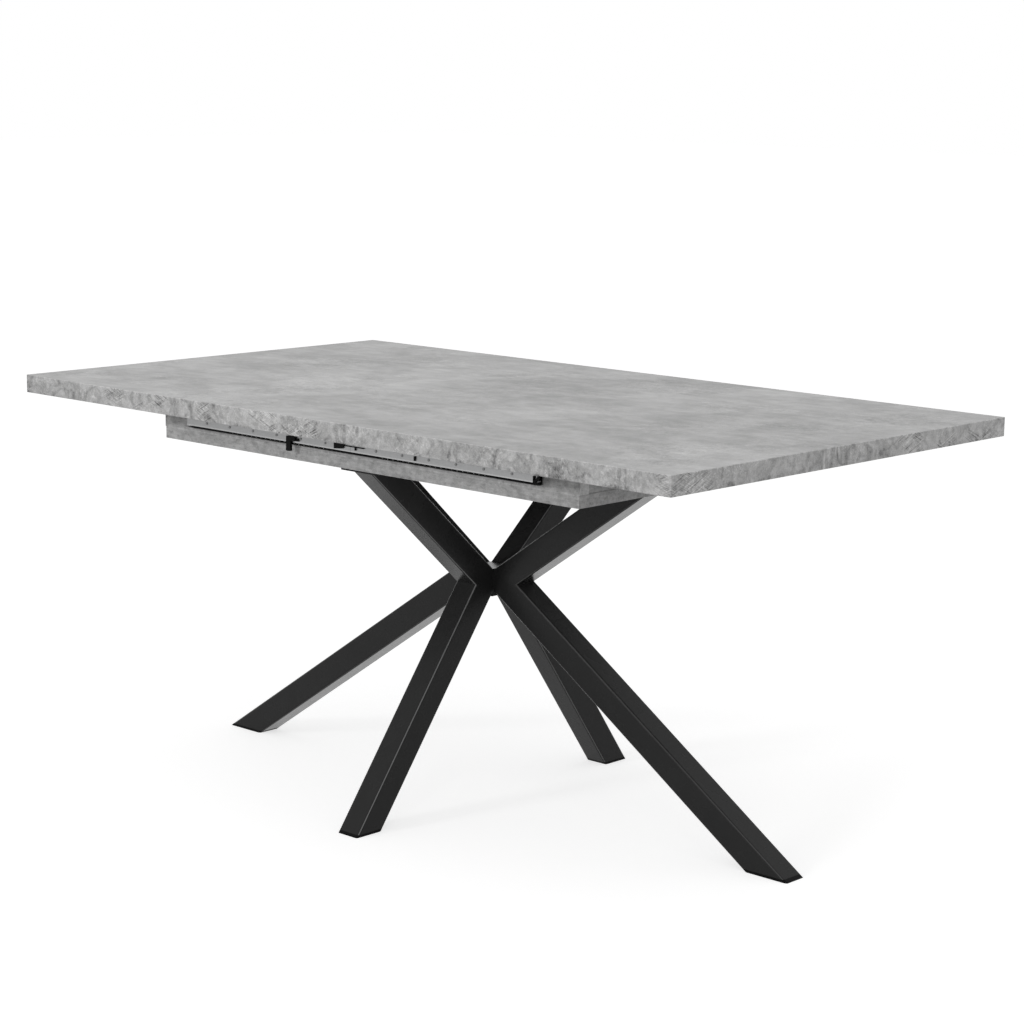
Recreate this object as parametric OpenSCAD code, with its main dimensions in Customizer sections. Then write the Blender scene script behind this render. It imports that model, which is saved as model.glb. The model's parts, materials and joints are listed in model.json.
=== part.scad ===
// Extendable dining table. Two top halves roll apart on ball-bearing slides, a rack and pinion
// keeps them in step, and a spare leaf lies in the frame box between. The frame box stands on a
// star base: four arms and four legs of square tube that meet at a short post.
// Millimetres, +Z up, origin on the floor under the middle, +X along the table, -Y the front.

/* [Top] */
// Length of the closed table
table_l = 1600; // [1400:10:1800]
// Width of the table, which is also the length of the spare leaf
table_w = 920; // [840:10:1000]
// Height of the top face above the floor
table_h = 760; // [720:5:800]
// Thickness of the top panels and of the spare leaf
top_t = 34; // [28:1:38]
// Radius of the arrises of the panels
arris_r = 1.2; // [0.6:0.2:3]
// Gap between the halves when the table is closed
seam_gap = 0.4; // [0.2:0.1:1]
// Distance that each half rolls out
travel = 200; // [150:5:210]

/* [Frame box] */
// Distance from a long edge of the top to the frame box
box_setback = 112; // [90:2:140]
// Height of the frame box, from its bottom to the top panels
box_h = 68; // [66:1:84]
// Thickness of the base board
board_t = 22; // [16:1:22]
// Thickness of the long rails
rail_t = 22; // [18:1:25]
// Distance that the long rails pass the ends of the base board
rail_over = 2; // [0:1:8]
// Thickness of the end boards
end_t = 18; // [12:1:22]
// Distance from the end of the base board to an end board
end_inset = 1; // [1:1:20]
// Room between the stored leaf and an end board
leaf_room = 40; // [10:1:44]
// Gap between the frame box and the rolling panels
roll_gap = 1.5; // [1:0.5:3]
// Thickness of the felt strips under the stored leaf
felt_t = 2; // [1:0.5:4]

/* [Star base] */
// Outside width of the square tube
tube_w = 50; // [40:1:60]
// Wall of the square tube
tube_wall = 2.5; // [1.5:0.5:4]
// Outside corner radius of the square tube
tube_r = 4; // [3:0.5:6]
// Distance from the centre to the middle of a left or right foot
foot_x = 672; // [600:2:720]
// Distance from the centre to the middle of a front or back foot
foot_y = 338; // [300:2:380]
// Distance from an end of the frame box to the middle of a left or right arm at its top
arm_end_inset = 133; // [95:1:175]
// Distance from a long side of the frame box to the middle of a front or back arm
arm_inset = 51; // [46:1:70]
// Height of the waist, where each arm meets its leg
waist_h = 420; // [380:5:460]
// Distance from the centre to the middle of the left and right mitres
waist_x = 41; // [38:1:50]
// Distance from the centre to the middle of the front and back mitres
waist_y = 36; // [34:1:45]
// Height of the post above the waist
post_up = 21; // [18:1:26]
// Depth of the post below the waist
post_down = 31; // [26:1:40]
// Thickness of the plates that carry the frame box
plate_t = 4; // [3:0.5:6]
// Rim of a plate beyond the end of its arm
plate_rim = 9; // [9:1:20]
// Rim of a plate beside its arm
plate_side = 20; // [18:1:30]
// Thickness of the foot caps under the tube
cap_t = 5; // [3:0.5:10]
// Depth of the foot caps inside the tube
plug_h = 20; // [10:1:40]

/* [Slides] */
// Length of a slide
slide_l = 880; // [870:2:900]
// Height of a slide
slide_h = 26; // [26:1:32]
// Depth of a slide
slide_d = 12; // [12:0.5:16]
// Distance from the top panels down to the middle of a slide
slide_drop = 25.5; // [24:0.5:28]
// Thickness of the slide's sheet steel
sheet_t = 1.5; // [1.2:0.1:2]
// Radius of the slide's balls
ball_r = 2.2; // [1.8:0.1:2.4]
// Pitch of the balls in their cage
ball_pitch = 12.8; // [8:0.2:24]
// Pitch of the holes along a slide
hole_pitch = 64; // [60:1:66]
// Thickness of the carrier angles
carrier_t = 2; // [1.5:0.5:3]
// Height of the carrier angles
carrier_h = 34; // [33:0.5:37]
// Width of the carrier angles' flange under the top
flange_w = 27; // [22:1:35]

/* [Synchroniser] */
// Module of the rack and pinion teeth
gear_m = 2; // [1.5:0.25:2.25]
// Teeth on the pinion
gear_teeth = 20; // [16:4:24]
// Height of the racks and the pinion
gear_h = 10; // [6:1:10]
// Thickness of a rack behind its teeth
rack_back = 10; // [6:1:14]
// Radius of the pinion's axle
axle_r = 5; // [3:0.5:6]

/* [Hardware] */
// Shank radius of the wood screws
screw_r = 2.5; // [2:0.1:3]
// Length of a wood screw in the wood
screw_l = 15; // [10:1:16]
// Radius of the alignment dowels
dowel_r = 4; // [3:0.5:6]
// Length of a dowel outside its panel
dowel_out = 12; // [8:1:20]
// Distance from a panel's long edge to the first dowel
dowel_edge = 120; // [80:5:160]
// Width of the lock lever's handle
lever_w = 12; // [10:1:16]
// Length of the lock lever's handle
lever_l = 27; // [25:1:40]
// Reach of the lock lever's nose past its handle
lever_nose = 11; // [6:1:11]
// Distance from the middle of the slide to the lock lever
lever_x = 156; // [150:1:170]

/* [Hidden] */
$fn = 48;
far = 2000;
fit = 0.05;
run = 0.3;
bore_spare = 3;
head_r = screw_r + 2;
head_h = 2;

steel_black = "#1d1d1f";
plastic_black = "#141414";
concrete = "#a8a9aa";
board_grey = "#8f9091";
zinc = "#c3c5c7";
beech = "#c9a878";
felt = "#3a3a3c";

// Levels
top_z = table_h - top_t;
board_z = top_z - box_h;
bay_z = board_z + board_t;
rail_top = top_z - roll_gap;
plate_z = board_z - plate_t;
slide_z = top_z - slide_drop;

// Frame box
box_w = table_w - 2 * box_setback;
leaf_w = 2 * travel;
bay_l = table_w + 2 * leaf_room;
box_l = bay_l + 2 * (end_t + end_inset);
bay_w = box_w - 2 * rail_t;
face_y = box_w / 2;
end_drop = 2;
end_top = rail_top - end_drop;
leaf_gap = 15;
leaf_y = -bay_w / 2 + leaf_gap + leaf_w / 2;
leaf_z = bay_z + felt_t;
dowel_places = [for (s = [-1, 1], k = [1, 1 / 3]) s * k * (table_w / 2 - dowel_edge)];

// Star base: angle about +Z, foot, arm top and waist distances of each side
SIDES = ["right", "back", "left", "front"];
arm_x = box_l / 2 - arm_end_inset;
arm_y = face_y - arm_inset;
post_r = tube_w / 2;
function along_x(side) = side == "left" || side == "right";
function turn(side) = 90 * search([side], SIDES)[0];
function foot_r(side) = along_x(side) ? foot_x : foot_y;
function arm_r(side) = along_x(side) ? arm_x : arm_y;
function waist_r(side) = along_x(side) ? waist_x : waist_y;
function leg_slope(side) = atan2(waist_h, foot_r(side) - waist_r(side));
function arm_slope(side) = atan2(plate_z - waist_h, arm_r(side) - waist_r(side));
function mitre_slope(side) = (arm_slope(side) - leg_slope(side)) / 2;
function mitre_z(side, r) = waist_h + (r - waist_r(side)) * tan(mitre_slope(side));
function plate_l(side) = tube_w / sin(arm_slope(side)) + 2 * plate_rim;
plate_wide = tube_w + 2 * plate_side;
hole_edge = 12;
function plate_holes(side) =
    [for (i = [-1, 1], j = [-1, 1])
        [arm_r(side) + i * (plate_l(side) / 2 - hole_edge), j * (plate_wide - plate_side) / 2]];

// Slides, in the frame of the front slide: depth is measured outward from the rail's face
half_slide = slide_l / 2;
ball_roof = 1.2;
ball_h = slide_h / 2 - ball_roof - ball_r;
ball_d = slide_d - 4.5;
race_r = ball_r + run;
race_bite = 0.3;
flange_in = ball_h - ball_r + race_bite;
flange_out = ball_h + ball_r - race_bite;
inner_back = 5.3;
inner_t = 2.2;
inner_gap = 4;
outer_lip = slide_d - 1;
cage_d = 3.8;
cage_t = 1;
cage_gap = 68;
cage_spare = 8;
cage_room = half_slide - travel / 2 - cage_spare - cage_gap;
cage_balls = floor(cage_room / ball_pitch);
cage_l = cage_balls * ball_pitch;
cage_arm = 0.6;
ball_fit = 0.15;
end_margin = 20;
hole_count = floor((half_slide - end_margin) / hole_pitch);
holes = [for (k = [1 : hole_count]) k * hole_pitch];
outer_screws = [for (k = [-3 : 2]) (k + 0.5) * 2 * hole_pitch];
flange_screws = [for (k = [0 : 3]) (0.5 + 1.8 * k) * hole_pitch];
flange_mid = slide_d + carrier_t + flange_w / 2;
skin = slide_d + carrier_t;
rivet_r = 1.6;
rivet_head_r = 2.4;
rivet_head_h = 0.8;
rivet_tail_r = 2.4;
rivet_tail_h = 1.5;

// Plastic fittings, drawn as [along the slide, height above its middle]
lever_boss_r = 3.5;
lever_tail_r = 4.6;
lever_tail_h = 2;
lever_t = 4;
lever_top = 3;
lever_nose_h = 8;
lever_tip = 8;
lever_tip_h = 5;
lever_tip_t = 1.5;
guide_t = 2.5;
tongue_t = 2;
GUIDE = [[-39.5, -6.3], [-39.5, 4.5], [-14, 3.5], [-17, -4]];
TONGUE = [
    [-18, 0.8], [-18, 2.2], [36, 2.2], [36, 0.8], [15.2, 0.8], [15.2, -4], [12.8, -4], [12.8, 0.8]
];
clip_x = half_slide - 7;
clip_t = 3;
CLIP = [[0, -11], [0, 3], [3, 3], [3, -4], [11, 3], [14, 3], [14, 0], [6, -7], [16, -8], [16, -11]];
button_x = 2.5 * hole_pitch;
button_t = 2;
button_w = 4;
button_h = 8;

// Synchroniser
gear_pitch = PI * gear_m;
gear_r = gear_m * gear_teeth / 2;
backlash = 0.3;
pressure = 20;
sync_lift = 25;
sync_gap = 61;
sync_z = bay_z + sync_lift;
sync_y = leaf_y + leaf_w / 2 + dowel_out + gear_r + gear_m + rack_back + sync_gap;
dedendum = 1.25 * gear_m;
rack_y = gear_r + dedendum;
rack_spare = 5;
rack_end = bay_l / 2 - travel - rack_spare;
rack_block = 55;
mesh = 3 * gear_pitch;
house_l = 64;
house_wall = 6;
washer_h = 2;
washer_rim = 3;
house_w = 2 * (rack_y + rack_back + run + house_wall);

// ---- Shared shapes ----

// A rectangle about the origin with round corners
module round_rect(w, h, r) {
    square([w - 2 * r, h], center = true);
    square([w, h - 2 * r], center = true);
    for (x = [-1, 1], y = [-1, 1])
        translate([x * (w / 2 - r), y * (h / 2 - r)]) circle(r);
}

// A panel from x = 0 to x = l, centred on Y, with round arrises except at its far end if square_end
module panel(l, w, t, square_end = false) {
    extra = square_end ? 2 * arris_r : 0;
    intersection() {
        translate([(l + extra) / 2, 0, 0])
            linear_extrude(t) round_rect(l + extra, w, arris_r);
        translate([(l + extra) / 2, w / 2, t / 2]) rotate([90, 0, 0])
            linear_extrude(w) round_rect(l + extra, t, arris_r);
        translate([0, 0, t / 2]) rotate([90, 0, 90])
            linear_extrude(l) round_rect(w, t, arris_r);
    }
}

// A screw that points up, with the underside of its head at z = 0
module screw_up(l, r = screw_r, hr = head_r, hh = head_h) {
    cylinder(h = l, r = r);
    translate([0, 0, -hh]) cylinder(h = hh, r = hr);
}

// ---- Star base ----

module on_side(side) {
    rotate([0, 0, turn(side)]) children();
}

// The square tube's section, or a solid of its outline
module tube_section(solid = false) {
    difference() {
        round_rect(tube_w, tube_w, tube_r);
        if (!solid) bore_section(0);
    }
}

// The inside of the square tube, less a clearance all round
module bore_section(gap) {
    bore = tube_w - 2 * tube_wall - 2 * gap;
    round_rect(bore, bore, tube_r - tube_wall);
}

// An endless bar along the line from p to q, which are [distance, height]
module bar_between(p, q) {
    slope = atan2(q[1] - p[1], q[0] - p[0]);
    translate([p[0], 0, p[1]]) rotate([0, 90 - slope, 0])
        translate([0, 0, -far / 2]) linear_extrude(far) children();
}

// A slab across the tube's plane with the outline given in [distance, height]
module side_slab(points) {
    translate([0, tube_w, 0]) rotate([90, 0, 0])
        linear_extrude(2 * tube_w) polygon(points);
}

module leg_line(side) {
    bar_between([waist_r(side), waist_h], [foot_r(side), 0]) children();
}

module leg(side) {
    reach = foot_r(side) + 2 * tube_w;
    color(steel_black) on_side(side) intersection() {
        leg_line(side) tube_section();
        side_slab([[post_r, cap_t], [reach, cap_t], [reach, mitre_z(side, reach)],
            [post_r, mitre_z(side, post_r)]]);
    }
}

module arm(side) {
    reach = arm_r(side) + 2 * tube_w;
    color(steel_black) on_side(side) intersection() {
        bar_between([waist_r(side), waist_h], [arm_r(side), plate_z]) tube_section();
        side_slab([[post_r, mitre_z(side, post_r)], [reach, mitre_z(side, reach)],
            [reach, plate_z], [post_r, plate_z]]);
    }
}

module hub_post() {
    color(steel_black) translate([0, 0, waist_h - post_down])
        linear_extrude(post_up + post_down) round_rect(2 * post_r, 2 * post_r, 1);
}

// Each cap carries on the tube's outline to the floor and plugs into the tube
module foot_caps() {
    color(plastic_black) for (side = SIDES) on_side(side) {
        intersection() {
            leg_line(side) tube_section(solid = true);
            side_slab([[0, 0], [far, 0], [far, cap_t], [0, cap_t]]);
        }
        intersection() {
            leg_line(side) bore_section(run);
            side_slab([[0, cap_t], [far, cap_t], [far, cap_t + plug_h], [0, cap_t + plug_h]]);
        }
    }
}

module plate(side) {
    color(steel_black) on_side(side) difference() {
        translate([arm_r(side), 0, plate_z])
            linear_extrude(plate_t) round_rect(plate_l(side), plate_wide, 3);
        for (p = plate_holes(side))
            translate([p[0], p[1], plate_z - 1]) cylinder(h = plate_t + 2, r = screw_r + run);
    }
}

module plate_screws() {
    color(steel_black) for (side = SIDES) on_side(side)
        for (p = plate_holes(side))
            translate([p[0], p[1], plate_z]) screw_up(plate_t + screw_l);
}

// ---- Frame box ----

box_screw_x = [-0.4, -0.14, 0.14, 0.4] * box_l;
end_screw_y = [-0.36, 0.12, 0.36] * box_w;
end_screw_x = box_l / 2 - end_inset - end_t / 2;
box_screw_l = board_t + screw_l;
sync_screws_x = house_l / 2 - 6;

module pilot(x, y, z, depth) {
    translate([x, y, z]) cylinder(h = depth, r = screw_r + fit);
}

module base_board() {
    color(board_grey) difference() {
        translate([0, 0, board_z]) linear_extrude(board_t) round_rect(box_l, box_w, arris_r);
        for (side = SIDES) on_side(side)
            for (p = plate_holes(side)) pilot(p[0], p[1], board_z - 1, screw_l + 1 + fit);
        for (x = box_screw_x, s = [-1, 1]) {
            pilot(x, s * (face_y - rail_t / 2), board_z - 1, board_t + 2);
            box_screw_seat(x, s * (face_y - rail_t / 2));
        }
        for (y = end_screw_y, s = [-1, 1]) {
            pilot(s * end_screw_x, y, board_z - 1, board_t + 2);
            box_screw_seat(s * end_screw_x, y);
        }
        for (s = [-1, 1])
            pilot(s * sync_screws_x, sync_y, bay_z - screw_l - fit, screw_l + 1);
    }
}

// A counterbore that keeps a box screw's head flush with the board
module box_screw_seat(x, y) {
    translate([x, y, board_z - 1]) cylinder(h = head_h + 1, r = head_r + run);
}

module box_screws() {
    color(zinc) {
        for (x = box_screw_x, s = [-1, 1])
            translate([x, s * (face_y - rail_t / 2), board_z + head_h]) screw_up(box_screw_l);
        for (y = end_screw_y, s = [-1, 1])
            translate([s * end_screw_x, y, board_z + head_h]) screw_up(box_screw_l);
    }
}

// The front rail; the back one is the same, turned round
module rail() {
    rail_l = box_l + 2 * rail_over;
    difference() {
        translate([0, rail_t / 2 - face_y, bay_z])
            linear_extrude(rail_top - bay_z) round_rect(rail_l, rail_t, arris_r);
        for (x = box_screw_x)
            pilot(x, rail_t / 2 - face_y, bay_z - 1, head_h + screw_l + 1 + fit);
        for (x = outer_screws)
            outward(x, -screw_l - fit) cylinder(h = screw_l + 1 + fit, r = screw_r + fit);
    }
}

module rail_front() {
    color(board_grey) rail();
}

module rail_back() {
    color(board_grey) half_turn() rail();
}

module end_board(s) {
    color(board_grey) difference() {
        translate([s * (box_l / 2 - end_inset - end_t / 2), 0, (bay_z + end_top) / 2])
            cube([end_t, bay_w, end_top - bay_z], center = true);
        for (y = end_screw_y)
            pilot(s * end_screw_x, y, bay_z - 1, head_h + screw_l + 1 + fit);
    }
}

// ---- Spare leaf ----

// The stored leaf lies across the way it is used: its long side runs along the table
module leaf() {
    color(concrete) difference() {
        translate([-table_w / 2, leaf_y, leaf_z]) panel(table_w, leaf_w, top_t);
        for (x = dowel_places) {
            translate([x, leaf_y - leaf_w / 2 - 1, leaf_z + top_t / 2]) rotate([-90, 0, 0])
                cylinder(h = dowel_out + bore_spare + 1, r = dowel_r + run);
            translate([x, leaf_y + leaf_w / 2 + 1, leaf_z + top_t / 2]) rotate([90, 0, 0])
                cylinder(h = 2 * dowel_out + 1, r = dowel_r + fit);
        }
    }
}

module leaf_dowels() {
    color(beech) for (x = dowel_places)
        translate([x, leaf_y + leaf_w / 2 - 2 * dowel_out, leaf_z + top_t / 2]) rotate([-90, 0, 0])
            cylinder(h = 3 * dowel_out, r = dowel_r);
}

module leaf_felts() {
    felt_w = 30;
    felt_l = leaf_w - 20;
    color(felt) for (x = [-0.35, 0, 0.35] * table_w)
        translate([x - felt_w / 2, leaf_y - felt_l / 2, bay_z]) cube([felt_w, felt_l, felt_t]);
}

// ---- Top halves ----

// s is -1 for the left half and 1 for the right half
module top_half(s) {
    l = (table_l - seam_gap) / 2;
    bore_l = s > 0 ? 2 * dowel_out : dowel_out + bore_spare;
    bore_r = s > 0 ? dowel_r + fit : dowel_r + run;
    difference() {
        mirror([s > 0 ? 1 : 0, 0, 0])
            translate([-table_l / 2, 0, top_z]) panel(l, table_w, top_t, square_end = true);
        for (x = flange_screws, y = [-1, 1] * (face_y + flange_mid))
            pilot(s * x, y, top_z - 1, screw_l + 1 + fit);
        for (x = rack_screws)
            pilot(s * x, sync_y + s * (rack_y + rack_back / 2), top_z - 1, screw_l + 1 + fit);
        for (y = dowel_places)
            translate([0, y, top_z + top_t / 2]) rotate([0, s * 90, 0])
                cylinder(h = bore_l, r = bore_r);
    }
}

module top_left() {
    color(concrete) top_half(-1);
}

module top_right() {
    color(concrete) top_half(1);
}

// The dowels sit in the right half and enter the left one when the table closes
module top_dowels() {
    color(beech) for (y = dowel_places)
        translate([-dowel_out, y, top_z + top_t / 2]) rotate([0, 90, 0])
            cylinder(h = 3 * dowel_out, r = dowel_r);
}

module top_screws(s) {
    color(zinc) {
        for (x = flange_screws, y = [-1, 1] * (face_y + flange_mid))
            translate([s * x, y, top_z - carrier_t]) screw_up(carrier_t + screw_l);
        for (x = rack_screws)
            translate([s * x, sync_y + s * (rack_y + rack_back / 2), sync_z])
                screw_up(top_z - sync_z + screw_l);
    }
}

// ---- Slides ----
// The parts below are drawn for the front slide. half_turn() makes the back one of them.

module half_turn() {
    rotate([0, 0, 180]) children();
}

// Extrudes an outline of [depth, height above the slide's middle] from x0 to x1
module along_slide(x0, x1) {
    translate([x0, -face_y, slide_z]) rotate([90, 0, 90])
        linear_extrude(x1 - x0) mirror([1, 0]) children();
}

// Points +Z outward at a depth, at a place along the slide and a height above its middle
module outward(x, depth, height = 0) {
    translate([x, -face_y - depth, slide_z + height]) rotate([90, 0, 0]) children();
}

// A rectangle from one depth to another, which reaches as high above the middle as below it
module band(d0, d1, h) {
    translate([d0, -h]) square([d1 - d0, 2 * h]);
}

// Ball grooves of the slide
module races() {
    for (h = [-1, 1] * ball_h) translate([ball_d, h]) circle(race_r);
}

// Channel that is screwed to the rail
module slide_outer() {
    color(steel_black) difference() {
        along_slide(-half_slide, half_slide) difference() {
            band(0, outer_lip, slide_h / 2);
            band(sheet_t, far, flange_out);
            races();
        }
        for (x = outer_screws)
            outward(x, -1) cylinder(h = sheet_t + 2, r = screw_r + run);
    }
}

// Screws that hold the front channel to its rail
module outer_screw_row() {
    for (x = outer_screws)
        outward(x, sheet_t) mirror([0, 0, 1]) screw_up(sheet_t + screw_l);
}

// Channel that rolls with a top half; s is -1 for the left end of the slide and 1 for the right
module slide_inner(s) {
    x0 = s < 0 ? -half_slide : inner_gap;
    x1 = s < 0 ? -inner_gap : half_slide;
    difference() {
        along_slide(x0, x1) difference() {
            band(inner_back, slide_d, flange_in);
            band(0, slide_d - sheet_t, flange_in - inner_t);
            races();
        }
        carrier_holes(s);
    }
}

// Cage with its balls. It starts a cage_gap from the seam and runs out by half the travel.
module ball_cage(s) {
    mid = s * (cage_gap + cage_l / 2);
    ball_x = [for (k = [0 : cage_balls - 1]) mid + (k + 0.5 - cage_balls / 2) * ball_pitch];
    color(plastic_black) difference() {
        along_slide(mid - cage_l / 2, mid + cage_l / 2) difference() {
            band(cage_d, ball_d + ball_r + cage_t, ball_h + cage_arm);
            band(cage_d + cage_t, far, ball_h - cage_arm);
        }
        for (x = ball_x)
            translate([x, -face_y - ball_d, slide_z])
                cylinder(h = slide_h, r = ball_r + ball_fit, center = true);
    }
    color(zinc) for (x = ball_x, h = [-1, 1] * ball_h)
        translate([x, -face_y - ball_d, slide_z + h]) sphere(ball_r, $fn = 24);
}

// Holes through a carrier and the channel behind it
module carrier_holes(s) {
    for (x = holes)
        outward(s * x, inner_back) cylinder(h = slide_d, r = rivet_r + fit);
    if (s < 0)
        outward(-lever_x, inner_back) cylinder(h = slide_d, r = lever_boss_r + fit);
}

// Angle that hangs a top half on its slide
module carrier(s) {
    x0 = s < 0 ? -half_slide : seam_gap / 2;
    x1 = s < 0 ? -seam_gap / 2 : half_slide;
    color(zinc) difference() {
        along_slide(x0, x1) {
            translate([slide_d, slide_drop - carrier_h]) square([carrier_t, carrier_h]);
            translate([slide_d, slide_drop - carrier_t]) square([carrier_t + flange_w, carrier_t]);
        }
        carrier_holes(s);
        for (x = flange_screws)
            translate([s * x, -face_y - flange_mid, top_z - carrier_t - 1])
                cylinder(h = carrier_t + 2, r = screw_r + run);
    }
}

// Rivets of the carrier at one end of the slide
module rivet_row(s) {
    for (x = holes) {
        outward(s * x, slide_d - sheet_t) cylinder(h = sheet_t + carrier_t, r = rivet_r);
        outward(s * x, skin) cylinder(h = rivet_head_h, r = rivet_head_r);
        outward(s * x, slide_d - sheet_t - rivet_tail_h) cylinder(h = rivet_tail_h, r = rivet_tail_r);
    }
}

module rivets(s) {
    color(zinc) {
        rivet_row(s);
        half_turn() rivet_row(-s);
    }
}

module slide_screws() {
    color(zinc) {
        outer_screw_row();
        half_turn() outer_screw_row();
    }
}

// ---- Plastic fittings on the carriers ----

// Turn lever: a handle that hangs down, a nose to the right and a boss snapped into the channel
module lock_lever() {
    inside = slide_d - sheet_t - run;
    color(plastic_black) {
        outward(-lever_x, skin + run) linear_extrude(lever_t) {
            translate([0, lever_top - lever_l / 2]) round_rect(lever_w, lever_l, 2);
            translate([0, lever_top - lever_nose_h])
                square([lever_w / 2 + lever_nose, lever_nose_h]);
        }
        outward(-lever_x, skin + run, lever_top - lever_nose_h) linear_extrude(lever_tip_t)
            square([lever_w / 2 + lever_nose + lever_tip, lever_tip_h]);
        outward(-lever_x, inside) cylinder(h = skin + 2 * run - inside, r = lever_boss_r);
        outward(-lever_x, inside - lever_tail_h) cylinder(h = lever_tail_h, r = lever_tail_r);
    }
}

// Wedge at the seam, whose tongue laps over the other carrier
module seam_guide() {
    color(plastic_black) {
        outward(0, skin) linear_extrude(guide_t) polygon(GUIDE);
        outward(0, skin + run) linear_extrude(tongue_t) polygon(TONGUE);
    }
}

// Hooked clip on the end of the right carrier, and the button that limits its travel
module end_stops() {
    color(plastic_black) {
        outward(clip_x, skin) linear_extrude(clip_t) polygon(CLIP);
        outward(button_x, skin, -1) linear_extrude(button_t) round_rect(button_w, button_h, 1);
    }
}

// ---- Synchroniser ----

rack_screws = [for (k = [0.25, 0.75]) rack_end - k * rack_block];

function involute(base, t) = [
    base * sqrt(1 + pow(t * PI / 180, 2)),
    t - atan(t * PI / 180)
];
function roll_at(base, r) = sqrt(pow(r / base, 2) - 1) * 180 / PI;

// Outline of the pinion: each flank is an involute, from the root to the tip
module pinion_outline() {
    base = gear_r * cos(pressure);
    root = gear_r - dedendum;
    tip = gear_r + gear_m;
    steps = 6;
    slack = backlash / 4 / gear_r * 180 / PI;
    half = 90 / gear_teeth - slack + involute(base, roll_at(base, gear_r))[1];
    flank = [for (k = [0 : steps]) involute(base, roll_at(base, tip) * k / steps)];
    tooth = concat(
        [[root, -half]],
        [for (k = [0 : steps]) [flank[k][0], flank[k][1] - half]],
        [for (k = [steps : -1 : 0]) [flank[k][0], half - flank[k][1]]],
        [[root, half]]
    );
    polygon([for (i = [0 : gear_teeth - 1], p = tooth)
        p[0] * [cos(p[1] + i * 360 / gear_teeth), sin(p[1] + i * 360 / gear_teeth)]]);
}

module pinion() {
    color(plastic_black) translate([0, sync_y, sync_z]) linear_extrude(gear_h) difference() {
        pinion_outline();
        circle(axle_r + fit);
    }
}

// Outline of the left rack's teeth, which point to +Y from y = 0; gaps are centred on x = 0
module rack_teeth() {
    deep = dedendum + gear_m;
    lean = deep * tan(pressure);
    crown = gear_pitch / 4 - gear_m * tan(pressure) - backlash / 4;
    count = floor((travel + 2 * mesh) / gear_pitch / 2);
    first = round(-mesh / gear_pitch);
    for (k = [first : first + 2 * count])
        translate([(k + 0.5) * gear_pitch, 0])
            polygon([[-crown - lean, 0], [crown + lean, 0], [crown, deep], [-crown, deep]]);
}

// Rack of the left half. The right half's rack is the same, turned round the pinion.
module rack() {
    color(zinc) difference() {
        union() {
            translate([0, -rack_y, 0]) linear_extrude(gear_h) {
                rack_teeth();
                translate([-rack_end, -rack_back])
                    square([rack_end + travel + mesh + gear_pitch, rack_back]);
            }
            translate([-rack_end, -rack_y - rack_back, 0])
                cube([rack_block, rack_back, top_z - sync_z]);
        }
        for (x = rack_screws)
            translate([-x, -rack_y - rack_back / 2, -1])
                cylinder(h = top_z - sync_z + 2, r = screw_r + run);
    }
}

module rack_left() {
    translate([0, sync_y, sync_z]) rack();
}

module rack_right() {
    translate([0, sync_y, sync_z]) rotate([0, 0, 180]) rack();
}

// Block on the base board that carries the pinion and guides both racks
module sync_housing() {
    floor_z = sync_z - run;
    color(plastic_black) difference() {
        union() {
            translate([-house_l / 2, sync_y - house_w / 2, bay_z])
                cube([house_l, house_w, floor_z - bay_z]);
            for (s = [-1, 1])
                translate([-house_l / 2, sync_y + s * (house_w - house_wall) / 2 - house_wall / 2, bay_z])
                    cube([house_l, house_wall, sync_z + gear_h - bay_z]);
        }
        translate([0, sync_y, bay_z - 1]) cylinder(h = far, r = axle_r + fit);
        for (s = [-1, 1]) translate([s * sync_screws_x, sync_y, 0]) {
            translate([0, 0, bay_z - 1]) cylinder(h = far, r = screw_r + run);
            translate([0, 0, floor_z - head_h - 1]) cylinder(h = far, r = head_r + run);
        }
    }
}

module pinion_axle() {
    axle_h = sync_z + gear_h + run - bay_z;
    color(zinc) translate([0, sync_y, bay_z]) {
        cylinder(h = axle_h, r = axle_r);
        translate([0, 0, axle_h]) cylinder(h = washer_h, r = axle_r + washer_rim);
    }
}

module sync_screws() {
    seat = sync_z - run - head_h - 1;
    color(zinc) for (s = [-1, 1])
        translate([s * sync_screws_x, sync_y, seat]) mirror([0, 0, 1])
            screw_up(seat - bay_z + screw_l);
}

// ---- Nodes ----

top_left();
top_right();
top_dowels();
carrier(-1);  // carrier_front_left
carrier(1);  // carrier_front_right
half_turn() carrier(1);  // carrier_back_left
half_turn() carrier(-1);  // carrier_back_right
color(zinc) slide_inner(-1);  // slide_inner_front_left
color(zinc) slide_inner(1);  // slide_inner_front_right
color(zinc) half_turn() slide_inner(1);  // slide_inner_back_left
color(zinc) half_turn() slide_inner(-1);  // slide_inner_back_right
ball_cage(-1);  // ball_cage_front_left
ball_cage(1);  // ball_cage_front_right
half_turn() ball_cage(1);  // ball_cage_back_left
half_turn() ball_cage(-1);  // ball_cage_back_right
slide_outer();  // slide_outer_front
half_turn() slide_outer();  // slide_outer_back
slide_screws();
rivets(-1);  // rivets_left
rivets(1);  // rivets_right
top_screws(-1);  // top_screws_left
top_screws(1);  // top_screws_right
lock_lever();  // lock_lever_front
half_turn() lock_lever();  // lock_lever_back
seam_guide();  // seam_guide_front
half_turn() seam_guide();  // seam_guide_back
end_stops();  // end_stops_front
half_turn() end_stops();  // end_stops_back
rack_left();
rack_right();
pinion();
pinion_axle();
sync_housing();
sync_screws();
leaf();
leaf_dowels();
leaf_felts();
base_board();
rail_front();
rail_back();
end_board(-1);  // end_board_left
end_board(1);  // end_board_right
box_screws();
plate("right");  // plate_right
plate("back");  // plate_back
plate("left");  // plate_left
plate("front");  // plate_front
plate_screws();
arm("right");  // arm_right
arm("back");  // arm_back
arm("left");  // arm_left
arm("front");  // arm_front
leg("right");  // leg_right
leg("back");  // leg_back
leg("left");  // leg_left
leg("front");  // leg_front
hub_post();
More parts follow.
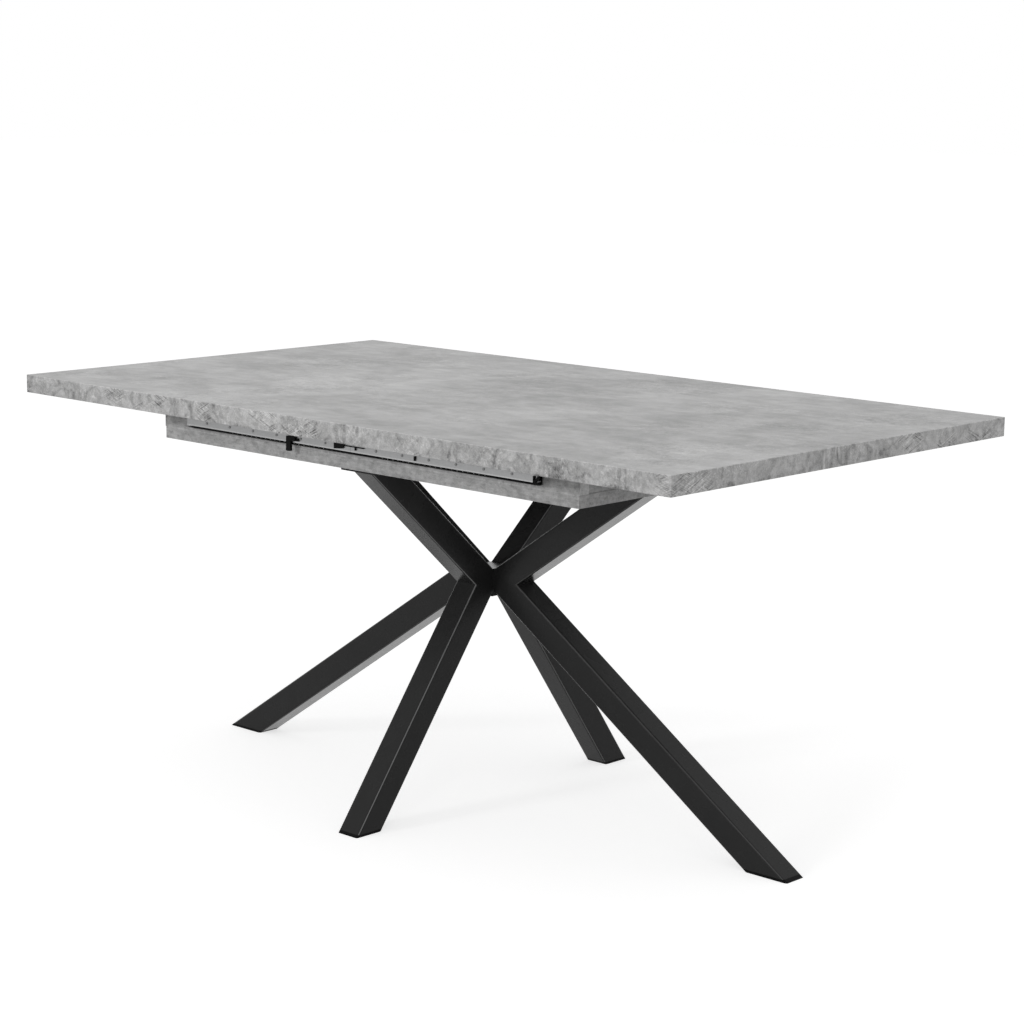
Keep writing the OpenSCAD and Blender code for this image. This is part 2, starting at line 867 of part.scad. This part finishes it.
foot_caps();
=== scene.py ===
"""Looks of the extendable dining table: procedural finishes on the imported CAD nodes, and a plain pale studio.

Metres, in the frame of the part: origin on the floor under the middle, +X along the table, -Y the front.
"""

import json
import math

import bpy
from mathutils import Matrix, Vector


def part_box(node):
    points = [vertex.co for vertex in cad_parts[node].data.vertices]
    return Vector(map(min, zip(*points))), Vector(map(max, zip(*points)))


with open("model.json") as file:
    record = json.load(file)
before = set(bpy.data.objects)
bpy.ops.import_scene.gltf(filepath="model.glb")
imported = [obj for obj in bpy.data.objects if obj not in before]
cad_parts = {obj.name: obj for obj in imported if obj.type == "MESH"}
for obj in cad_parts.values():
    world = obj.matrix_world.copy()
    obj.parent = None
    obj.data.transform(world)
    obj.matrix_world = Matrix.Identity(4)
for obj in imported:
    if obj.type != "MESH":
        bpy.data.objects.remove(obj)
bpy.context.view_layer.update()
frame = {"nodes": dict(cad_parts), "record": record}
nodes = frame["nodes"]

MM = 0.001


# ---- Node helpers ----


def srgb(level):
    """Linear value of a grey level from 0 to 255."""
    c = level / 255
    return c / 12.92 if c <= 0.04045 else ((c + 0.055) / 1.055) ** 2.4


class Tree:
    """A short way to write a shader node tree. Inputs may be numbers, tuples or sockets."""

    def __init__(self, tree):
        self.tree = tree
        tree.nodes.clear()

    def add(self, kind, inputs=None, **props):
        made = self.tree.nodes.new(kind)
        for key, value in props.items():
            setattr(made, key, value)
        for key, value in (inputs or {}).items():
            self.put(made.inputs[key], value)
        return made

    def put(self, socket, value):
        if isinstance(value, bpy.types.NodeSocket):
            self.tree.links.new(value, socket)
        else:
            socket.default_value = value

    def math(self, operation, a, b=0.0, clamp=False):
        made = self.add("ShaderNodeMath", {0: a, 1: b}, operation=operation, use_clamp=clamp)
        return made.outputs[0]

    def total(self, result, *others):
        """The sum of the values."""
        for value in others:
            result = self.math("ADD", result, value)
        return result

    def times(self, result, *others):
        """The product of the values."""
        for value in others:
            result = self.math("MULTIPLY", result, value)
        return result

    def less(self, a, b):
        """a - b."""
        return self.math("SUBTRACT", a, b)

    def absolute(self, value):
        """A value without its sign."""
        return self.math("ABSOLUTE", value)

    def vector(self, x, y, z):
        return self.add("ShaderNodeCombineXYZ", {0: x, 1: y, 2: z}).outputs[0]

    def apart(self, vector):
        """The three parts of a vector."""
        return self.add("ShaderNodeSeparateXYZ", {0: vector}).outputs

    def noise(self, vector, scale, detail=4.0, roughness=0.5, distortion=0.0):
        """Fractal noise around 0.5. The scale is in spots per metre."""
        figure = {"Scale": scale, "Detail": detail, "Roughness": roughness, "Distortion": distortion}
        return self.add("ShaderNodeTexNoise", {"Vector": vector, **figure}).outputs["Fac"]

    def cells(self, vector, scale):
        """Distance to the middle of the nearest cell."""
        return self.add("ShaderNodeTexVoronoi", {"Vector": vector, "Scale": scale}).outputs["Distance"]

    def spread(self, value, low, high, to_low=0.0, to_high=1.0):
        """A value between low and high moved smoothly to the range from to_low to to_high."""
        made = self.add(
            "ShaderNodeMapRange",
            {"Value": value, "From Min": low, "From Max": high, "To Min": to_low, "To Max": to_high},
            interpolation_type="SMOOTHSTEP",
        )
        return made.outputs[0]

    def contrast(self, value, low=0.35, high=0.65):
        """0 at low and 1 at high, with a smooth step between. With low above high it is turned over."""
        if low < high:
            return self.spread(value, low, high)
        return self.spread(value, high, low, 1.0, 0.0)

    def mix(self, factor, a, b):
        """a where factor is 0, b where it is 1."""
        made = self.add("ShaderNodeMix", {0: factor, 2: a, 3: b}, data_type="FLOAT")
        return made.outputs[0]

    def weighted(self, value, weight):
        """A value around 0.5 turned into one around 0, times weight."""
        return self.times(self.less(value, 0.5), weight)

    def toned(self, level, tone):
        """A level changed by a tone, of which 0.1 makes it a tenth paler."""
        return self.times(self.total(tone, 1.0), level)

    def colour(self, red, green, blue):
        return self.add("ShaderNodeCombineColor", {0: red, 1: green, 2: blue}).outputs[0]

    def grey(self, value, warm=0.0):
        """A near neutral colour from one value."""
        return self.colour(self.times(value, 1 + warm), value, self.times(value, 1 - warm))

    def bump(self, height, strength, distance):
        made = self.add("ShaderNodeBump", {"Height": height, "Strength": strength, "Distance": distance})
        return made.outputs[0]


def place(tree):
    """Where a point of the surface lies in the part's frame, and the way the surface faces there."""
    coords = tree.add("ShaderNodeTexCoord")
    return coords.outputs["Object"], coords.outputs["Normal"]


def material(name, shade, roughness=0.5, metallic=0.0, specular=0.5):
    """A Principled material. shade(tree) returns {socket name: value} for what varies over the surface."""
    made = bpy.data.materials.new(name)
    made.use_nodes = True
    tree = Tree(made.node_tree)
    fixed = {"Roughness": roughness, "Metallic": metallic, "Specular IOR Level": specular}
    fixed.update(shade(tree))
    shader = tree.add("ShaderNodeBsdfPrincipled", fixed)
    tree.add("ShaderNodeOutputMaterial", {"Surface": shader.outputs[0]})
    return made


# ---- Concrete laminate of the top and the leaf ----

# Strokes on the edge band: angle to the run of the edge, length and width
RISING = (26.0, 40 * MM, 2.6 * MM)
FALLING = (-24.0, 44 * MM, 2.4 * MM)

# A painted highlight along the top arris of the edge band is RIM_HIGHLIGHT high with a soft lower side. Smudges
# fade in from
# SMUDGES_TOP above its foot and are full at SMUDGES_FULL.
RIM_HIGHLIGHT = 1.8 * MM
RIM_HIGHLIGHT_BLUR = 1.0 * MM
SMUDGES_TOP = 10 * MM
SMUDGES_FULL = 2 * MM

# Upright share of the normal at which the edge figure ends and the face figure is whole
EDGE_ENDS = 0.90
FACE_WHOLE = 0.97


def hatching(tree, u, v, angle, length, width):
    """Strokes of a length and a width across the plane of u and v, at an angle to u."""
    c = math.cos(math.radians(angle))
    s = math.sin(math.radians(angle))
    along = tree.total(tree.times(u, c), tree.times(v, s))
    across = tree.less(tree.times(v, c), tree.times(u, s))
    strokes = tree.vector(along, tree.times(across, length / width), 0.0)
    return tree.noise(strokes, 1 / length, detail=3.0, roughness=0.6)


def hatched(tree, where, run, z):
    """Crossing strokes, dark and pale. Of the dark ones the rising lie on knots, the falling beside them."""
    rising = hatching(tree, run, z, *RISING)
    falling = hatching(tree, run, z, *FALLING)
    knots = tree.contrast(tree.noise(where, 32.0, detail=3.0, distortion=0.8), 0.44, 0.58)
    beside = tree.less(1.15, knots)
    return tree.total(
        tree.times(knots, tree.contrast(rising, 0.54, 0.60), -0.60),
        tree.times(beside, tree.contrast(falling, 0.55, 0.61), -0.50),
        tree.times(tree.contrast(rising, 0.44, 0.39), 0.26),
        tree.times(tree.contrast(falling, 0.44, 0.39), 0.34),
        tree.times(knots, -0.12),
    )


def concrete_face(tree, where, clouds, speckle, grain):
    """Tone of the broad faces: drifts, clouds and trowel marks, with rough spots here and there."""
    x, y, z = tree.apart(where)
    drift = tree.contrast(tree.noise(where, 2.2, detail=2.0))
    trowel = tree.contrast(tree.noise(tree.vector(x, tree.times(y, 2.2), z), 18.0, detail=5.0))
    veins = tree.contrast(tree.noise(where, 13.0, detail=7.0, roughness=0.75, distortion=2.0), 0.40, 0.62)
    specks = tree.contrast(tree.noise(where, 150.0, detail=3.0, distortion=0.8), 0.58, 0.68)
    rough_here = tree.contrast(tree.noise(where, 5.0, detail=4.0, roughness=0.65), 0.44, 0.66)
    return tree.total(
        tree.weighted(drift, 0.22),
        tree.weighted(clouds, 0.23),
        tree.weighted(trowel, 0.13),
        tree.weighted(veins, 0.10),
        tree.times(rough_here, tree.weighted(speckle, 0.34)),
        tree.times(rough_here, specks, -0.16),
        tree.weighted(speckle, 0.08),
        tree.weighted(grain, 0.08),
        -0.05,
    )


def concrete_edge(tree, where, clouds, speckle, grain):
    """Tone of the edge band: a rougher stone figure, hatched in some patches and upright in others."""
    x, y, z = tree.apart(where)
    run = tree.less(x, y)
    lumps = tree.contrast(tree.noise(where, 40.0, detail=6.0, roughness=0.6, distortion=1.2))
    stains = tree.contrast(tree.noise(where, 17.0, detail=5.0, roughness=0.6, distortion=1.5), 0.55, 0.68)

    patches = tree.noise(where, 8.0, detail=2.0)
    hatch_here = tree.contrast(patches, 0.52, 0.60)
    upright_here = tree.contrast(patches, 0.42, 0.35)
    upright = tree.noise(tree.vector(run, 0.0, tree.times(z, 0.12)), 130.0, detail=3.0)

    foot, head = (corner[2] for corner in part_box("top_left"))
    # A painted highlight along the top arris of the edge band
    rim_highlight = tree.contrast(z, head - RIM_HIGHLIGHT, head - RIM_HIGHLIGHT + RIM_HIGHLIGHT_BLUR)
    near_foot = tree.contrast(z, foot + SMUDGES_TOP, foot + SMUDGES_FULL)
    smudges = tree.contrast(tree.noise(where, 24.0, detail=4.0, distortion=1.0), 0.56, 0.66)
    pitted_here = tree.contrast(tree.noise(where, 13.0, detail=2.0), 0.50, 0.60)
    pits = tree.contrast(tree.noise(where, 210.0, detail=1.0), 0.56, 0.64)
    return tree.total(
        tree.weighted(lumps, 0.38),
        tree.weighted(clouds, 0.20),
        tree.times(stains, -0.40),
        tree.times(hatch_here, hatched(tree, where, run, z)),
        tree.times(upright_here, tree.weighted(tree.contrast(upright, 0.36, 0.64), 0.38)),
        tree.times(near_foot, smudges, -0.42),
        tree.times(rim_highlight, 0.16),
        tree.times(pitted_here, pits, 0.22),
        tree.weighted(speckle, 0.28),
        tree.weighted(grain, 0.22),
        0.05,
    )


def concrete(level):
    """Concrete-look laminate: soft clouds on the faces, a rougher stone figure on the edge band."""

    def shade(tree):
        where, normal = place(tree)
        clouds = tree.contrast(tree.noise(where, 8.0, detail=5.0, roughness=0.6, distortion=0.6))
        speckle = tree.noise(where, 75.0, detail=5.0, roughness=0.85, distortion=0.5)
        speckle = tree.contrast(speckle, 0.34, 0.66)
        grain = tree.contrast(tree.noise(where, 420.0, detail=2.0), 0.3, 0.7)
        face = concrete_face(tree, where, clouds, speckle, grain)
        edge = concrete_edge(tree, where, clouds, speckle, grain)
        flat = tree.contrast(tree.absolute(tree.apart(normal)[2]), EDGE_ENDS, FACE_WHOLE)
        return {
            "Base Color": tree.grey(tree.toned(level, tree.mix(flat, edge, face)), 0.004),
            "Roughness": tree.total(tree.weighted(speckle, 0.05), 0.46),
            "Normal": tree.bump(tree.total(grain, speckle), 0.10, 0.3 * MM),
        }

    return shade


# ---- Laminated board of the frame box ----

# The joint of base board and rails shows as a line, a painted highlight in front and painted shade at the ends,
# full for
# JOINT_HALF and gone at JOINT_FADE either side of its middle, which lies JOINT_DROP under the top of the base
# board.
JOINT_DROP = 0.5 * MM
JOINT_HALF = 0.5 * MM
JOINT_FADE = 1.2 * MM

# Heights over the base board between which painted shade darkens the rails' faces and the end boards under the
# top
RAIL_SHADE_FROM = 3 * MM
RAIL_SHADE_FULL = 12 * MM
END_SHADE_FULL = 20 * MM

# Widths of the soft borders between the rails' cut ends and the pieces beside them
BASE_BLUR = 0.5 * MM
RAIL_BLUR = 0.2 * MM

# Lengthways share of the normal at which a face starts to count, and fully counts, as an end of the box
END_FROM = 0.6
END_FULL = 0.8


def board_figure(tree, where, mottle, grain):
    """Tone of the board by itself: brushed lengthways, mottled, with short dashes."""
    x, y, z = tree.apart(where)
    run = tree.less(x, y)
    brushed = tree.noise(tree.vector(run, tree.times(z, 5.0), tree.times(y, 0.6)), 45.0, detail=5.0)
    clouds = tree.noise(where, 9.0, detail=3.0)
    dashes = tree.noise(tree.vector(tree.times(run, 0.45), z, y), 190.0, detail=3.0)
    return tree.total(
        tree.weighted(tree.contrast(brushed), 0.18),
        tree.weighted(tree.contrast(mottle, 0.38, 0.62), 0.26),
        tree.weighted(tree.contrast(clouds), 0.11),
        tree.weighted(tree.contrast(grain, 0.3, 0.7), 0.18),
        tree.times(tree.contrast(dashes, 0.57, 0.66), -0.20),
        tree.times(tree.contrast(dashes, 0.43, 0.35), 0.10),
    )


def board_joints(tree, where, normal):
    """Tone that tells the boards of the box apart: the joint with the base board is a painted highlight line in
    front and a painted shade line at the ends, painted shade darkens the rails' faces and the end boards up
    under the top, and the rails' cut ends are pale."""
    _, y, z = tree.apart(where)
    at_end = tree.contrast(tree.absolute(tree.apart(normal)[0]), END_FROM, END_FULL)
    base_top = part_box("base_board")[1][2]
    joint = tree.contrast(tree.absolute(tree.less(z, base_top - JOINT_DROP)), JOINT_FADE, JOINT_HALF)
    above = tree.contrast(z, base_top, base_top + BASE_BLUR)
    rail_shade = tree.contrast(z, base_top + RAIL_SHADE_FROM, base_top + RAIL_SHADE_FULL)
    end_shade = tree.contrast(z, base_top, base_top + END_SHADE_FULL)
    rail_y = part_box("end_board_right")[1][1]
    between = tree.contrast(tree.absolute(y), rail_y + RAIL_BLUR, rail_y - RAIL_BLUR)
    return tree.total(
        # Painted highlight on the joint line in front, painted shade on it at the ends
        tree.times(joint, tree.mix(at_end, 0.14, -0.20)),
        # Painted shade on the rails' faces up under the top
        tree.times(rail_shade, tree.mix(at_end, -0.20, 0.0)),
        tree.times(at_end, above, tree.less(1.0, between), 0.34),
        # Painted shade on the end boards up under the top
        tree.times(at_end, between, end_shade, -0.24),
    )


def board(level):
    """Concrete-look board of the frame box."""

    def shade(tree):
        where, normal = place(tree)
        mottle = tree.noise(where, 60.0, detail=5.0, roughness=0.7)
        grain = tree.noise(where, 500.0, detail=2.0)
        tone = tree.total(board_figure(tree, where, mottle, grain), board_joints(tree, where, normal))
        return {
            "Base Color": tree.grey(tree.toned(level, tone), 0.003),
            "Roughness": tree.total(tree.weighted(mottle, 0.15), 0.55),
            "Normal": tree.bump(tree.total(grain, mottle), 0.12, 0.4 * MM),
        }

    return shade


# ---- Steel, plastic, beech and felt ----

# Layer weight at which the coat's gloss starts to rise towards the outline, and at which it is full
GLOSS_FROM = 0.64
GLOSS_FULL = 0.82

# Heights on the carrier sheet: a band under the top darkened by painted shade, and a painted highlight along
# its sheared foot
SHEET_SHADE_FROM = 16 * MM
SHEET_SHADE_FULL = 4 * MM
SHEET_HIGHLIGHT_FROM = 3.0 * MM
SHEET_HIGHLIGHT_FULL = 1.2 * MM


def powder_coat(level):
    """Black powder coat: a fine orange peel breaks up the gloss, which is low except towards the outline."""

    def shade(tree):
        where, _ = place(tree)
        peel = tree.noise(where, 900.0, detail=1.0)
        wear = tree.noise(where, 25.0, detail=4.0)
        slant = tree.add("ShaderNodeLayerWeight", {"Blend": 0.5}).outputs["Facing"]
        return {
            "Base Color": tree.grey(tree.toned(level, tree.weighted(wear, 0.3))),
            "Roughness": tree.total(tree.weighted(wear, 0.08), 0.27),
            "Specular IOR Level": tree.spread(slant, GLOSS_FROM, GLOSS_FULL, 0.11, 1.0),
            "Normal": tree.bump(peel, 0.04, 0.15 * MM),
        }

    return shade


def zinc(level, spangle=0.12, rough=0.42, sheet=False):
    """Zinc plate: faint crystals and a grain drawn along the rolling direction. A sheet gets painted shade up
    under the top and a painted highlight along its sheared foot."""

    def shade(tree):
        where, _ = place(tree)
        x, y, z = tree.apart(where)
        drawn = tree.noise(tree.vector(tree.times(x, 0.04), y, z), 1500.0, detail=2.0)
        tone = tree.total(
            tree.weighted(tree.cells(where, 260.0), spangle),
            tree.weighted(drawn, 0.10),
            tree.weighted(tree.noise(where, 18.0, detail=3.0), 0.14),
        )
        if sheet:
            foot, head = (corner[2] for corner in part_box("carrier_front_left"))
            tone = tree.total(
                tone,
                # Painted shade under the top
                tree.times(tree.contrast(z, head - SHEET_SHADE_FROM, head - SHEET_SHADE_FULL), -0.16),
                # Painted highlight along the sheared foot
                tree.times(tree.contrast(z, foot + SHEET_HIGHLIGHT_FROM, foot + SHEET_HIGHLIGHT_FULL), 0.30),
            )
        return {
            "Base Color": tree.grey(tree.toned(level, tone), -0.006),
            "Roughness": tree.total(tree.weighted(drawn, rough / 2), rough),
        }

    return shade


def moulded(level, rough=0.45):
    """Black moulded plastic with a fine matt grain."""

    def shade(tree):
        where, _ = place(tree)
        grain = tree.noise(where, 2400.0, detail=1.0)
        clouds = tree.noise(where, 60.0, detail=2.0)
        return {
            "Base Color": tree.grey(tree.toned(level, tree.weighted(clouds, 0.3))),
            "Roughness": tree.total(tree.weighted(clouds, 0.1), rough),
            "Normal": tree.bump(grain, 0.15, 0.05 * MM),
        }

    return shade


def beech(red, green, blue):
    """Turned beech: fine straight grain with short darker flecks."""

    def shade(tree):
        where, _ = place(tree)
        x, y, z = tree.apart(where)
        grain = tree.noise(tree.vector(tree.times(x, 0.1), tree.times(y, 0.1), z), 900.0, detail=3.0)
        flecks = tree.contrast(tree.noise(where, 700.0, detail=1.0), 0.62, 0.70)
        tone = tree.less(tree.spread(grain, 0.2, 0.8, 0.85, 1.1), tree.times(flecks, 0.15))
        return {
            "Base Color": tree.colour(*(tree.times(tone, share) for share in (red, green, blue))),
            "Normal": tree.bump(grain, 0.2, 0.1 * MM),
        }

    return shade


def felt(level):
    """Wool felt: matted fibres."""

    def shade(tree):
        where, _ = place(tree)
        fibres = tree.noise(where, 1800.0, detail=4.0, roughness=0.8, distortion=2.0)
        value = tree.times(tree.spread(fibres, 0.3, 0.7, 0.6, 1.5), level)
        return {"Base Color": tree.grey(value), "Normal": tree.bump(fibres, 0.8, 0.4 * MM)}

    return shade


# ---- Finishes on the nodes ----

# Each finish by its slot. The levels are linear reflectances.
FINISHES = {
    name: material(name, shade, **gloss)
    for name, shade, gloss in (
        ("concrete_laminate", concrete(srgb(178)), {"specular": 0.35}),
        ("box_laminate", board(srgb(181)), {"specular": 0.3}),
        ("black_steel", powder_coat(0.022), {}),
        # Paler coats for the painted highlights along the tubes' arrises
        ("arris_highlight_steel", powder_coat(0.18), {}),
        ("faint_arris_highlight_steel", powder_coat(0.07), {}),
        # The outer channels are near black: partly their own dark coat, partly painted shade for the slot under
        # the carriers
        ("black_channel", zinc(0.008), {"metallic": 0.5, "specular": 0.12}),
        ("zinc_steel", zinc(0.315, sheet=True), {"metallic": 1.0}),
        ("screw_steel", zinc(0.19, spangle=0.05), {"metallic": 1.0}),
        # Near-white balls: partly bright steel, partly a painted glint in the shaded slot
        ("ball_steel_glint", zinc(0.95, spangle=0.0, rough=0.5), {"metallic": 0.15}),
        ("ball_cage", moulded(0.003), {"specular": 0.06}),
        ("black_plastic", moulded(0.003), {"specular": 0.06}),
        ("beech", beech(0.58, 0.40, 0.22), {"roughness": 0.6}),
        ("felt", felt(0.04), {"roughness": 0.95, "specular": 0.1}),
    )
}

# Share of a face's normal that marks a round arris between two flat sides of a tube, which gets a painted
# highlight
ARRIS_FROM = 0.52
ARRIS_TO = 0.86

# Share of a face's normal that marks the sawn end of a channel
SAWN_END = 0.9

# Balls and the thin arms of their cages
BALL_R = 2.2 * MM
ARM_HALF = 0.65 * MM
WEB_T = 1.5 * MM


def dress(node, slot):
    """Give a node one finish all over."""
    mesh = nodes[node].data
    mesh.materials.clear()
    mesh.materials.append(FINISHES[slot])


def dress_faces(node, slot, chosen):
    """Give a second finish to those faces of a node for which chosen(face) is true."""
    mesh = nodes[node].data
    mesh.materials.append(FINISHES[slot])
    for face in mesh.polygons:
        face.material_index = 1 if chosen(face) else 0


def paint_arris_highlights(node):
    """Painted highlight along the round arrises of a tube: the coat is paler there, and more so on the frame
    across the table.
    """
    crosswise = node.endswith(("front", "back"))
    across = 0 if crosswise else 1
    slot = "arris_highlight_steel" if crosswise else "faint_arris_highlight_steel"
    dress_faces(node, slot, lambda face: ARRIS_FROM < abs(face.normal[across]) < ARRIS_TO)


def paint_ball_glints(node):
    """The balls of a cage are what stands above or below the thin arms of its rows and clear of its web. Their
    near-white finish is partly bright steel and partly a painted glint that shows them in the shaded slot.
    """
    low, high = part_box(node)
    middle = (low[2] + high[2]) / 2
    row_height = (high[2] - low[2]) / 2 - BALL_R
    web = min(low[1], high[1], key=abs)

    def is_ball(face):
        height = abs(face.center[2] - middle)
        off_arms = abs(height - row_height) > ARM_HALF
        off_web = abs(face.center[1] - web) > WEB_T
        return off_arms and off_web and height > row_height - BALL_R

    dress_faces(node, "ball_steel_glint", is_ball)


for row in frame["record"]["subparts"]:
    dress(row["node"], row["material_slot"])

for node in nodes:
    if node.startswith(("arm_", "leg_")):
        paint_arris_highlights(node)
    elif node.startswith("ball_cage"):
        paint_ball_glints(node)
    elif node.startswith("slide_outer"):
        dress_faces(node, "screw_steel", lambda face: abs(face.normal[0]) > SAWN_END)


# ---- Studio ----


def white_to_view(tree, other):
    """Factor that is 1 for what the camera sees, also by way of gloss or glass, and other for the rest."""
    path = tree.add("ShaderNodeLightPath")
    seen = tree.math("ADD", path.outputs["Is Camera Ray"], path.outputs["Is Glossy Ray"], clamp=True)
    seen = tree.math("ADD", seen, path.outputs["Is Transmission Ray"], clamp=True)
    return tree.mix(seen, other, 1.0)


def studio_world(ambient):
    """White all round to the camera, and at a lower level as light."""
    world = bpy.data.worlds.new("studio")
    world.use_nodes = True
    tree = Tree(world.node_tree)
    background = tree.add(
        "ShaderNodeBackground", {"Color": (1, 1, 1, 1), "Strength": white_to_view(tree, ambient)}
    )
    tree.add("ShaderNodeOutputWorld", {"Surface": background.outputs[0]})
    bpy.context.scene.world = world


def studio_floor(size, albedo, glow):
    """A pale floor. To the camera a share of its white is its own, so its shadows stay but are soft."""
    bpy.ops.mesh.primitive_plane_add(size=size)
    floor = bpy.context.object
    floor.name = "studio_floor"
    made = bpy.data.materials.new("studio_floor")
    made.use_nodes = True
    tree = Tree(made.node_tree)
    diffuse = tree.add("ShaderNodeBsdfDiffuse", {"Color": (albedo, albedo, albedo, 1)})
    light = tree.add(
        "ShaderNodeEmission",
        {"Color": (1, 1, 1, 1), "Strength": tree.times(white_to_view(tree, 0.0), glow)},
    )
    both = tree.add("ShaderNodeAddShader", {0: diffuse.outputs[0], 1: light.outputs[0]})
    tree.add("ShaderNodeOutputMaterial", {"Surface": both.outputs[0]})
    floor.data.materials.append(made)


def softbox(name, position, target, size, power):
    """A square lamp, side in metres and power in watts."""
    data = bpy.data.lights.new(name, "AREA")
    data.shape = "SQUARE"
    data.size = size
    data.energy = power
    lamp = bpy.data.objects.new(name, data)
    lamp.location = position
    aim = [t - p for t, p in zip(target, position)]
    lamp.rotation_euler = Vector(aim).to_track_quat("-Z", "Y").to_euler()
    bpy.context.collection.objects.link(lamp)


def camera(position, turn, lens, film):
    """The scene's camera. turn is in degrees about X, Y and Z, lens and film width in millimetres."""
    data = bpy.data.cameras.new("camera")
    data.sensor_width = film
    data.lens = lens
    made = bpy.data.objects.new("camera", data)
    made.location = position
    made.rotation_euler = [math.radians(angle) for angle in turn]
    bpy.context.collection.objects.link(made)
    bpy.context.scene.camera = made


studio_world(ambient=0.64)
studio_floor(size=60.0, albedo=0.55, glow=0.68)
softbox("overhead", position=(1.9, -0.9, 3.6), target=(0.1, 0, 0.7), size=1.6, power=5.8)
softbox("front", position=(-1.2, -5.0, 2.3), target=(0, 0, 0.6), size=0.8, power=52.0)
softbox("accent", position=(2.0, -2.6, 3.5), target=(0, -0.1, 0.5), size=0.35, power=6.0)
camera(position=(3.1254, -3.3093, 1.3678), turn=(79.712, -0.719, 43.043), lens=87.797, film=36.0)
bpy.context.scene.view_settings.view_transform = "Standard"
